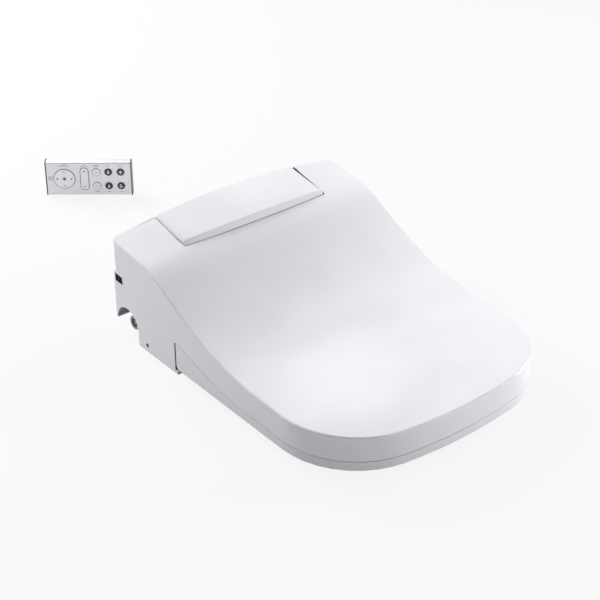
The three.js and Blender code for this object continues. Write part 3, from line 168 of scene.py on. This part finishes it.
# Soft thermoplastic rubber, matt and slightly dusty.
soft_grey = even_skin("grey_soft_rubber", 0xC4C5C6, 0xB6B7B8, (0.7, 0.85), 0.7, (0.35, 0.0002), IOR=1.5)
# Extruded dark strips in the gaps, painted shade that makes the gaps read dark, and the gasket: matt rubber.
gap_shade_rubber = even_skin("dark_gap_shade_rubber", 0x1B1B1E, 0x242427, (0.75, 0.9), 0.7, (0.3, 0.0002), IOR=1.5)
gasket_rubber = even_skin("grey_gasket_rubber", 0x4A4B4F, 0x55565B, (0.6, 0.75), 0.7, (0.3, 0.0002), IOR=1.5)
# A grained grey sheet lining the notch, painted shade where little light comes, and moulded nylon inside the
# notch.
arch_shade_grey = even_skin("grained_grey_arch_shade", 0x84858B, 0x7A7B81, (0.5, 0.65), 0.9, (0.2, 0.0002), IOR=1.49)
strainer_grey = even_skin("pale_nylon_strainer", 0xB9BABD, 0xACADB1, (0.45, 0.6), 0.8, (0.2, 0.0001))
# Sprayed paint on the end trims and the dark keys: smooth, with half a gloss.
trim_grey = even_skin("painted_dark_trim", 0x5A5C62, 0x515359, (0.3, 0.42), 0.9, (0.2, 0.0001))
key_dark = even_skin("painted_dark_key", 0x1F222A, 0x262A33, (0.34, 0.46), 0.8, (0.1, 0.0001))
# Pad printed ink dries matt and lies a hair above the key.
dark_ink = even_skin("dark_printed_ink", 0x3C3E45, 0x474950, (0.55, 0.7), 0.6, (0.1, 0.0001), IOR=1.5)
# The grey ink also draws the lines round the keys, painted shade of the gaps there.
grey_ink_and_gap_shade = even_skin("grey_print_and_gap_shade", 0x7C7E85, 0x86888E, (0.55, 0.7), 0.6, (0.1, 0.0001), IOR=1.5)
white_ink = even_skin("white_printed_ink", 0xF2F3F6, 0xE8EAEE, (0.5, 0.65), 0.6, (0.1, 0.0001), IOR=1.5)
# Drawn, turned and pressed metals: rings or streaks along the way they were worked.
wand_steel = turned_metal("drawn_stainless_steel", 0xC9CACC, (0.2, 0.34), 0, 0.6)
inlet_brass = turned_metal("nickel_plated_brass", 0xA3A3A6, (0.3, 0.42), 0, 0.5)
cell_steel = turned_metal("pressed_nickel_steel", 0xCDCDCB, (0.2, 0.3), 0, 0.8)


def silver_lacquer(name, light, dark):
    """Aluminium flake lacquer. Real flakes are 0.05 mm, drawn at 0.8 mm so that the sparkle shows."""
    material, shader = finish_of(name, Metallic=0.6, Coat_Weight=0.3, Coat_Roughness=0.2)
    place = add(material, "TexCoord").outputs["Object"]
    flakes = add(material, "TexVoronoi", {"Scale": per_metre(0.8)}, {"Vector": place})
    tone = add(
        material, "ValToRGB", links={"Fac": flakes.outputs["Distance"]},
        ramp=[(0.0, linear(light)), (1.0, linear(dark))],
    )
    gloss = add(material, "MapRange", {"To Min": 0.34, "To Max": 0.5}, {"Value": flakes.outputs["Distance"]})
    wire(material, shader, Base_Color=tone.outputs["Color"], Roughness=gloss.outputs["Result"])
    return material


def circuit_board():
    """Glass epoxy board under green solder mask, with copper tracks showing lighter through it."""
    material, shader = finish_of("green_circuit_board", IOR=1.55)
    place = add(material, "TexCoord").outputs["Object"]
    tracks = add(
        material, "TexBrick",
        {
            "Scale": per_metre(9), "Mortar Size": 0.08, "Brick Width": 0.9, "Row Height": 0.35,
            "Color1": linear(0x1F5A33), "Color2": linear(0x23633A), "Mortar": linear(0x3E8350),
        },
        {"Vector": place},
    )
    bump = add(material, "Bump", {"Strength": 0.3, "Distance": 0.0002}, {"Height": tracks.outputs["Fac"]})
    gloss = add(material, "MapRange", {"To Min": 0.3, "To Max": 0.45}, {"Value": tracks.outputs["Fac"]})
    wire(
        material, shader,
        Base_Color=tracks.outputs["Color"], Roughness=gloss.outputs["Result"], Normal=bump.outputs["Normal"],
    )
    return material


silver = silver_lacquer("silver_lacquer", 0xF2F3F5, 0xE4E6EA)
key_silver = silver_lacquer("pale_silver_lacquer", 0xF5F6F8, 0xEAECEF)
board_green = circuit_board()

finishes = {
    "shell": gloss_white,
    "panel": gloss_white,
    "seat": seat_white,
    "plastic": frame_grey,
    "black": black_abs,
    "rubber": soft_grey,
    "steel": wand_steel,
    "board": board_green,
    "remote": silver,
    "trim": trim_grey,
    "key": key_silver,
    "darkKey": key_dark,
}
own_finish = {
    "water_inlet": inlet_brass,
    "inlet_gasket": gasket_rubber,
    "cell_inner": cell_steel,
    "cell_outer": cell_steel,
    "pad_centre_key": key_silver,
    "release_button": gloss_white,
}

# ---- carried over CAD nodes ----

WELD = 2e-6
SMOOTH_ANGLE = math.radians(28)


def dress(name, slot):
    """Gives a CAD node its finish, and rounds its shading where its faces meet at a shallow angle.

    The weighted normals keep the broad faces flat, so that only the narrow edge rounds turn the light.
    """
    node = nodes[name]
    node.data.materials.clear()
    node.data.materials.append(own_finish.get(name, finishes[slot]))
    weld = node.modifiers.new("weld", "WELD")
    weld.merge_threshold = WELD
    shading = node.modifiers.new("shading", "NODES")
    shading.node_group = smooth_by_angle()
    crisp = node.modifiers.new("crisp", "WEIGHTED_NORMAL")
    crisp.keep_sharp = True


def smooth_by_angle():
    """Geometry nodes that smooth the shading across every edge flatter than SMOOTH_ANGLE."""
    tree = bpy.data.node_groups.get("smooth_by_angle")
    if tree:
        return tree
    tree = bpy.data.node_groups.new("smooth_by_angle", "GeometryNodeTree")
    tree.interface.new_socket("Geometry", in_out="INPUT", socket_type="NodeSocketGeometry")
    tree.interface.new_socket("Geometry", in_out="OUTPUT", socket_type="NodeSocketGeometry")
    start = tree.nodes.new("NodeGroupInput")
    end = tree.nodes.new("NodeGroupOutput")
    smooth = tree.nodes.new("GeometryNodeSetShadeSmooth")
    smooth.domain = "FACE"
    sharp = tree.nodes.new("GeometryNodeSetShadeSmooth")
    sharp.domain = "EDGE"
    angle = tree.nodes.new("GeometryNodeInputMeshEdgeAngle")
    flatter = tree.nodes.new("FunctionNodeCompare")
    flatter.operation = "LESS_THAN"
    flatter.inputs["B"].default_value = SMOOTH_ANGLE
    tree.links.new(angle.outputs["Unsigned Angle"], flatter.inputs["A"])
    tree.links.new(start.outputs[0], smooth.inputs["Geometry"])
    tree.links.new(smooth.outputs["Geometry"], sharp.inputs["Geometry"])
    tree.links.new(flatter.outputs["Result"], sharp.inputs["Shade Smooth"])
    tree.links.new(sharp.outputs["Geometry"], end.inputs[0])
    return tree


for part in frame["record"]["subparts"]:
    dress(part["node"], part["material_slot"])

# ---- thin pieces beside the CAD nodes ----

MM = 0.001


def hit(name, start, way):
    """Where a straight line meets a CAD node, in metres."""
    return nodes[name].ray_cast(Vector(start), Vector(way))[1]


def piece(name, shape, body, material):
    """Turns a bmesh into a piece that rides on a body and wears a finish."""
    bmesh.ops.recalc_face_normals(shape, faces=shape.faces)
    mesh = bpy.data.meshes.new(name)
    shape.to_mesh(mesh)
    shape.free()
    mesh.materials.append(material)
    thing = bpy.data.objects.new(name, mesh)
    bpy.context.scene.collection.objects.link(thing)
    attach(thing, body)


def band(name, sections, body, material):
    """A closed band through sections of equally many corners."""
    shape = bmesh.new()
    rings = [[shape.verts.new(corner) for corner in section] for section in sections]
    count = len(rings[0])
    for near, far in zip(rings, rings[1:]):
        for i in range(count):
            j = (i + 1) % count
            shape.faces.new([near[i], near[j], far[j], far[i]])
    shape.faces.new(rings[0])
    shape.faces.new(rings[-1])
    piece(name, shape, body, material)


BITE = 0.05 * MM
ABOVE = 0.3
BELOW = -0.1

# Sizes of the dark strip that is painted shade in the gap round the panel.
PANEL_SHADE_FRONT = 0.9 * MM
PANEL_SHADE_SIDE = 1.1 * MM
PANEL_SHADE_CORNER = 2.0 * MM
PANEL_SHADE_DEPTH = 3 * MM
PANEL_SHADE_BELOW = 0.35 * MM
FOOT_LAYER = 0.2 * MM
OPEN_BACK = 2 * MM
BACK_END = 1 * MM
LID_BESIDE = 3 * MM
FACES_FRONT = 0.2
FACES_SIDE = 0.98


def panel_gap_shade():
    """A dark rubber strip in the gap between the panel's foot and the lid: painted shade of that gap."""
    low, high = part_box("top_panel")
    foot = [v.co.xy for v in nodes["top_panel"].data.vertices if v.co.z < low.z + FOOT_LAYER]
    outline = [foot[i] for i in convex_hull_2d(foot)]
    path = [p for p in outline if p.y < high.y - OPEN_BACK]
    path.sort(key=lambda p: math.atan2(p.x, (high.y - p.y)))
    back = high.y - BACK_END
    path = [Vector((path[0].x, back)), *path, Vector((path[-1].x, back))]
    sections = []
    for i, p in enumerate(path):
        before = path[max(i - 1, 0)]
        after = path[min(i + 1, len(path) - 1)]
        along = (after - before).normalized()
        outward = Vector((along.y, -along.x))
        if outward.dot(p - Vector((0, back))) < 0:
            outward = -outward
        beside = p + outward * LID_BESIDE
        top = hit("lid_shell", (beside.x, beside.y, ABOVE), (0, 0, -1)).z - PANEL_SHADE_BELOW
        sideways = abs(outward.x)
        wide = PANEL_SHADE_CORNER
        if sideways < FACES_FRONT:
            wide = PANEL_SHADE_FRONT
        elif sideways > FACES_SIDE:
            wide = PANEL_SHADE_SIDE
        outer = p + outward * wide
        inner = p - outward * BITE
        sections.append(
            [(*inner, top), (*outer, top), (*outer, top - PANEL_SHADE_DEPTH), (*inner, top - PANEL_SHADE_DEPTH)]
        )
    band("panel_gap_shade", sections, "base", gap_shade_rubber)


BESIDE = 0.3
IN_FRONT = -0.2
SIDE_HEIGHT = 0.03
CASE_FRONT_Y = -0.05
SEAT_BACK_Y = -0.06
# Sizes of the dark strip that is painted shade in the gap between case and seat.
CASE_SHADE_BACK = 1.2 * MM
CASE_SHADE_FRONT = 1.4 * MM
CASE_SHADE_FOOT = 9 * MM
CASE_SHADE_BELOW_LID = 6 * MM
CASE_SHADE_INSET = 0.1 * MM
CASE_SHADE_GRIP = 0.6 * MM
SKIRT_INSIDE = 1.2 * MM


def case_gap_shade(side):
    """A dark rubber strip on the case's front edge, flush with the seat's side: painted shade of the gap between
    case and seat.
    """
    inward = (-side, 0, 0)
    case_side = hit("rear_case", (side * BESIDE, CASE_FRONT_Y, SIDE_HEIGHT), inward).x
    seat_side = hit("seat_top_shell", (side * BESIDE, SEAT_BACK_Y, SIDE_HEIGHT), inward).x
    edge = hit("rear_case", (case_side - side * MM, IN_FRONT, SIDE_HEIGHT), (0, 1, 0)).y
    back = edge + CASE_SHADE_BACK
    front = edge - CASE_SHADE_FRONT
    skirt = hit("lid_shell", (seat_side - side * SKIRT_INSIDE, front, BELOW), (0, 0, 1)).z
    outer = seat_side - side * CASE_SHADE_INSET
    inner = case_side - side * CASE_SHADE_GRIP
    sections = [
        [(inner, front, z), (outer, front, z), (outer, back, z), (inner, back, z)]
        for z in (CASE_SHADE_FOOT, skirt - CASE_SHADE_BELOW_LID)
    ]
    band(f"case_gap_shade_{'right' if side > 0 else 'left'}", sections, "base", gap_shade_rubber)


# Sizes of the grey sheet that is painted shade in the notch.
ARCH_SHADE_WALL = 0.7 * MM
ARCH_SHADE_INSET = 0.4 * MM
ARCH_SHADE_SHORT = 5 * MM
ARCH_SHADE_CENTRE = 12 * MM
ARCH_SHADE_STEP = 6
ARCH_SHADE_STEPS = 33


def arch_shade_sheet():
    """A grey sleeve in the notch for the water inlet: painted shade of the notch's hollow."""
    mouth = hit("rear_case", (-BESIDE, 0, SIDE_HEIGHT), (1, 0, 0)).x + ARCH_SHADE_INSET
    low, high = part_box("water_inlet")
    depth = high.x - ARCH_SHADE_SHORT
    openings = frame["record"]["physics"]["openings"]
    notch = next(o for o in openings if o["name"] == "hose_notch_mouth")["box_m"]
    middle = (notch[0][1] + notch[1][1]) / 2
    centre = Vector((mouth, middle, low.z + ARCH_SHADE_CENTRE))
    sections = []
    for step in range(1, ARCH_SHADE_STEPS + 1):
        turn = math.radians(ARCH_SHADE_STEP * step)
        way = Vector((0, math.cos(turn), math.sin(turn)))
        place = hit("rear_case", centre, way)
        outer = place + way * BITE
        inner = place - way * ARCH_SHADE_WALL
        sections.append(
            [
                (mouth, outer.y, outer.z), (mouth, inner.y, inner.z),
                (depth, inner.y, inner.z), (depth, outer.y, outer.z),
            ]
        )
    band("arch_shade_sheet", sections, "base", arch_shade_grey)


STRAINER_RIM = 2.4 * MM
STRAINER_FRONT = 1.2 * MM
STRAINER_BACK = 2.2 * MM
STRAINER_RAISED = 0.4 * MM
STRAINER_SIDES = 24


def inlet_strainer():
    """The raised nylon disc that keeps grit out of the water inlet."""
    low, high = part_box("inlet_gasket")
    y, z = (low.y + high.y) / 2, (low.z + high.z) / 2
    reach = (high.y - low.y) / 2 - STRAINER_RIM
    front, back = low.x + STRAINER_FRONT, low.x + STRAINER_BACK
    turns = [2 * math.pi * i / STRAINER_SIDES for i in range(STRAINER_SIDES)]
    rings = (
        (reach, back), (reach, front), (reach * 0.86, front - STRAINER_RAISED), (reach * 0.72, front),
    )
    sections = [
        [(x, y + radius * math.cos(t), z + radius * math.sin(t)) for t in turns] for radius, x in rings
    ]
    band("inlet_strainer", sections, "base", strainer_grey)


bpy.context.view_layer.update()
panel_gap_shade()
case_gap_shade(-1)
case_gap_shade(1)
arch_shade_sheet()
inlet_strainer()

# ---- printed marks and painted gap shade on the remote ----

PROUD = 0.06 * MM
SUNK = 0.06 * MM
push = Vector(next(j for j in frame["joints"] if j["name"] == "pad_press")["axis"])
up = Vector((0, 0, 1))
across = push.cross(up)


FACE_LAYER = 0.05 * MM


def face_of(name):
    """The front face of a node of the remote.

    Gives its middle across, up and deep in metres, and its half width and height in millimetres.
    """
    places = [v.co for v in nodes[name].data.vertices]
    deep = min(p.dot(push) for p in places)
    face = [p for p in places if p.dot(push) < deep + FACE_LAYER]
    reach = [p.dot(across) for p in face]
    rise = [p.z for p in face]
    middle = ((min(reach) + max(reach)) / 2, (min(rise) + max(rise)) / 2, deep)
    half = ((max(reach) - min(reach)) / 2 / MM, (max(rise) - min(rise)) / 2 / MM)
    return middle, half


def printed(name, on, around, plates, body, ink):
    """Thin closed plates of ink on one node's face, placed round the middle of another's: print, and the painted
    shade round the keys.
    """
    deep = face_of(on)[0][2]
    middle = face_of(around)[0]
    shape = bmesh.new()

    def corner(x, z, depth):
        flat = across * (middle[0] + x * MM) + up * (middle[1] + z * MM)
        return shape.verts.new(flat + push * (deep + depth))

    def corners(outline, depth):
        return [corner(x, z, depth) for x, z in outline]

    for outline, hole in plates:
        loops = [outline, hole] if hole else [outline]
        fronts = [corners(loop, -PROUD) for loop in loops]
        backs = [corners(loop, SUNK) for loop in loops]
        count = len(outline)
        turns = [(i, (i + 1) % count) for i in range(count)]
        for front, back in zip(fronts, backs):
            for i, j in turns:
                shape.faces.new([front[i], front[j], back[j], back[i]])
        for layer in (fronts, backs):
            if hole:
                for i, j in turns:
                    shape.faces.new([layer[0][i], layer[0][j], layer[1][j], layer[1][i]])
            else:
                shape.faces.new(layer[0])
    piece(name, shape, body, ink)


def oval(across_half, up_half, x=0, z=0, sides=32):
    """A round or oval outline, in millimetres as all outlines of marks are."""
    turns = [2 * math.pi * i / sides for i in range(sides)]
    return [(x + across_half * math.cos(t), z + up_half * math.sin(t)) for t in turns]


def pill(half_width, half_height, sides=16):
    """An upright outline with a round top and a round foot."""
    reach = half_height - half_width
    outline = []
    for start, shift in ((0, reach), (math.pi, -reach)):
        for i in range(sides + 1):
            turn = start + math.pi * i / sides
            outline.append((half_width * math.cos(turn), shift + half_width * math.sin(turn)))
    return outline


def bar(x, z, length, height):
    """An upright rectangle about a middle."""
    left, right, low, high = x - length / 2, x + length / 2, z - height / 2, z + height / 2
    return [(left, low), (right, low), (right, high), (left, high)]


def arrow(x, z, length, width, way):
    """A small triangle that points along way, one of (1, 0), (-1, 0), (0, 1) and (0, -1)."""
    tip = (x + way[0] * length / 2, z + way[1] * length / 2)
    foot = (x - way[0] * length / 2, z - way[1] * length / 2)
    side = (way[1] * width / 2, way[0] * width / 2)
    return [tip, (foot[0] + side[0], foot[1] + side[1]), (foot[0] - side[0], foot[1] - side[1])]


def plus(x, z, reach, width):
    """A plus sign with arms of even width."""
    half = width / 2
    quarter = [(reach, -half), (reach, half), (half, half)]
    outline = []
    for cosine, sine in ((1, 0), (0, 1), (-1, 0), (0, -1)):
        outline += [(x + a * cosine - b * sine, z + a * sine + b * cosine) for a, b in quarter]
    return outline


def stroke(points, width):
    """The outline of a line of even width through points."""
    left, right = [], []
    for i, (x, z) in enumerate(points):
        before = points[max(i - 1, 0)]
        after = points[min(i + 1, len(points) - 1)]
        run, rise = after[0] - before[0], after[1] - before[1]
        length = math.hypot(run, rise)
        left.append((x - rise / length * width / 2, z + run / length * width / 2))
        right.append((x + rise / length * width / 2, z - run / length * width / 2))
    return left + right[::-1]


def wave(width, height, line):
    """A small S lying on its side."""
    steps = [-1 + i / 6 for i in range(13)]
    return stroke([(width / 2 * s, -height / 2 * math.sin(math.pi * s)) for s in steps], line)


def fan(reach):
    """Four round blades about a middle."""
    outline = []
    for i in range(48):
        turn = 2 * math.pi * i / 48
        radius = reach * (0.72 + 0.28 * math.cos(4 * turn))
        outline.append((radius * math.cos(turn), radius * math.sin(turn)))
    return outline


def drop(half_width, half_height, sides=28):
    """A drop of water, pointed at the top."""
    outline = []
    for i in range(sides):
        turn = 2 * math.pi * i / sides
        narrow = math.sin(turn / 2) ** 1.5
        outline.append((half_width * math.sin(turn) * narrow * 1.3, half_height * math.cos(turn)))
    return outline


def bowl(half_width, depth, top):
    """A half round bowl below a level edge."""
    turns = [math.pi + math.pi * i / 16 for i in range(17)]
    return [(half_width * math.cos(t), top + depth * math.sin(t)) for t in turns]


SHELL = "remote_front_shell"
OUTLINED = ("pad_ring", "rocker_key", "pale_key_top", "pale_key_bottom")
OUTLINE_GAP = 0.4
OUTLINE = 0.8
THIN_OUTLINE = 0.6 * OUTLINE
LARGE_KEY = 8


def key_gap_shades():
    """A grey line on the shell round the pad, the rocker and the two pale keys: painted shade of the gaps round
    them.
    """
    for key in OUTLINED:
        wide, high = face_of(key)[1]
        near = OUTLINE_GAP
        far = OUTLINE_GAP + (OUTLINE if max(wide, high) > LARGE_KEY else THIN_OUTLINE)
        outline = pill if key == "rocker_key" else oval
        plates = [(outline(wide + far, high + far), outline(wide + near, high + near))]
        printed(f"outline_{key}", SHELL, key, plates, "remote", grey_ink_and_gap_shade)


def captions():
    """Short bars and thin lines in place of the small words beside the keys."""
    rows = {
        "pad_ring": [bar(0, 24.2, 8.5, 0.9), bar(0, 22.0, 18, 0.5)]
        + [bar(-22.4, z, 8.5, 0.8) for z in (3.2, 0.6)] + [bar(-21.4, -2.6, 9.5, 0.5)],
        "rocker_key": [bar(0, 24.2, 4.2, 0.9), bar(-4.6, 22.0, 4, 0.5), bar(4.6, 22.0, 4, 0.5)],
        "pale_key_top": [bar(0, 12.0, 8.4, 0.8), bar(0, 9.8, 7.2, 0.8)],
        "dark_inner_key_top": [bar(0, 10.8, 4.2, 0.8)],
        "dark_outer_key_top": [bar(0, 10.8, 5.2, 0.8)],
        "pale_key_bottom": [bar(0, -10.6, 7.6, 0.8)],
        "dark_inner_key_bottom": [bar(0, -10.6, 5.0, 0.8)],
        "dark_outer_key_bottom": [bar(0, -10.6, 4.2, 0.8)],
    }
    for key, outlines in rows.items():
        plates = [(outline, None) for outline in outlines]
        printed(f"caption_{key}", SHELL, key, plates, "remote", grey_ink_and_gap_shade)


def key_signs():
    """The signs on the keys. Each rides on its own key."""
    half = face_of("pad_ring")[1][0]
    inward = half - 4.8
    pad = [
        arrow(-inward, 0, 3.4, 3.6, (-1, 0)), arrow(inward, 0, 3.4, 3.6, (1, 0)),
        arrow(0, inward + 0.8, 2.2, 3.0, (0, 1)), arrow(0, -inward - 0.8, 2.2, 3.4, (0, -1)),
    ]
    signs = [
        ("pad_ring", "pad", dark_ink, pad),
        ("pad_centre_key", "pad_centre", dark_ink, [oval(2.1, 2.3)]),
        ("rocker_key", "temperature_rocker", dark_ink, [plus(0, 13.2, 1.9, 0.9), bar(0, -13.2, 3.4, 1.1)]),
        ("pale_key_top", "pale_top", grey_ink_and_gap_shade, [wave(5.4, 1.5, 0.8)]),
        ("pale_key_bottom", "pale_bottom", grey_ink_and_gap_shade, [wave(5.4, 2.6, 0.8)]),
        ("dark_inner_key_top", "dark_inner_top", white_ink, [oval(1.9, 3.2)]),
        ("dark_outer_key_top", "dark_outer_top", white_ink, [fan(3.4)]),
        ("dark_inner_key_bottom", "dark_inner_bottom", white_ink, [drop(1.9, 3.2)]),
        (
            "dark_outer_key_bottom", "dark_outer_bottom", white_ink,
            [oval(1.5, 1.5, -0.8, 2.0), bowl(3.2, 3.0, -0.2)],
        ),
    ]
    for key, body, ink, outlines in signs:
        plates = [(outline, None) for outline in outlines]
        printed(f"sign_{key}", key, key, plates, body, ink)


key_gap_shades()
captions()
key_signs()

# ---- floor, light and camera ----

FLOOR = 3.0
SHADOW = 0.12
AMBIENT = 0.03


def studio_floor():
    """A plain floor that looks nearly white to the camera and still takes a faint shadow."""
    mesh = bpy.data.meshes.new("floor")
    corners = [(-FLOOR, -FLOOR, 0), (FLOOR, -FLOOR, 0), (FLOOR, FLOOR, 0), (-FLOOR, FLOOR, 0)]
    mesh.from_pydata(corners, [], [(0, 1, 2, 3)])
    floor = bpy.data.objects.new("floor", mesh)
    bpy.context.scene.collection.objects.link(floor)
    material, shader = finish_of("white_floor", Base_Color=linear(0xC2C2C4), Roughness=0.7)
    mesh.materials.append(material)
    rays = add(material, "LightPath")
    seen = add(
        material, "Math", {"operation": "MAXIMUM"},
        {0: rays.outputs["Is Camera Ray"], 1: rays.outputs["Is Glossy Ray"]},
    )
    share = add(material, "Math", {"operation": "MULTIPLY", 1: 1 - SHADOW}, {0: seen.outputs[0]})
    white = add(material, "Emission", {"Color": [1, 1, 1, 1], "Strength": 1.0})
    blend = add(
        material, "MixShader", links={0: share.outputs[0], 1: shader.outputs[0], 2: white.outputs[0]}
    )
    output = material.node_tree.nodes["Material Output"]
    material.node_tree.links.new(blend.outputs[0], output.inputs["Surface"])


studio_floor()

scene = bpy.context.scene
scene.view_settings.view_transform = "Standard"
world = bpy.data.worlds.new("studio")
scene.world = world
world.use_nodes = True
sky = world.node_tree.nodes["Background"]
sky.inputs["Color"].default_value = linear(0xF8F8FF)
rays = world.node_tree.nodes.new("ShaderNodeLightPath")
level = world.node_tree.nodes.new("ShaderNodeMapRange")
level.inputs["To Min"].default_value = AMBIENT
world.node_tree.links.new(rays.outputs["Is Camera Ray"], level.inputs["Value"])
world.node_tree.links.new(level.outputs["Result"], sky.inputs["Strength"])


SEAT_MIDDLE = Vector((0, -0.15, 0.05))


def aim(holder, target):
    """Turns a lamp or the camera toward a place."""
    way = target - holder.location
    holder.rotation_euler = way.to_track_quat("-Z", "Y").to_euler()
    scene.collection.objects.link(holder)


def soft_lamp(name, place, width, height, power):
    """A white area lamp that faces the seat, with its sides in metres and its power in watts."""
    lamp = bpy.data.lights.new(name, "AREA")
    lamp.shape = "RECTANGLE"
    lamp.size = width
    lamp.size_y = height
    lamp.energy = power
    holder = bpy.data.objects.new(name, lamp)
    holder.location = place
    aim(holder, SEAT_MIDDLE)


soft_lamp("back", (-0.3, 1.9, 1.2), 1.4, 0.9, 66)
soft_lamp("back_right", (0.9, 1.7, 1.5), 1.4, 0.9, 4)
soft_lamp("left_high", (-1.6, 0.3, 1.5), 1.0, 0.8, 9)
soft_lamp("left_low", (-1.7, 0.9, 0.5), 1.0, 0.7, 2)
soft_lamp("right_side", (1.7, -0.7, 0.7), 0.9, 0.6, 30)
soft_lamp("right_high", (1.5, 0.3, 1.6), 1.0, 0.8, 2)
soft_lamp("front", (0.3, -1.9, 0.7), 1.4, 0.8, 10.5)

CAMERA_PLACE = (-1.1387, -1.4988, 1.1750)
CAMERA_TARGET = Vector((-0.0035, -0.0814, 0.060))
LENS_LENGTH = 93.9
SENSOR_WIDTH = 36

lens = bpy.data.cameras.new("camera")
lens.lens = LENS_LENGTH
lens.sensor_width = SENSOR_WIDTH
camera = bpy.data.objects.new("camera", lens)
camera.location = CAMERA_PLACE
aim(camera, CAMERA_TARGET)
scene.camera = camera
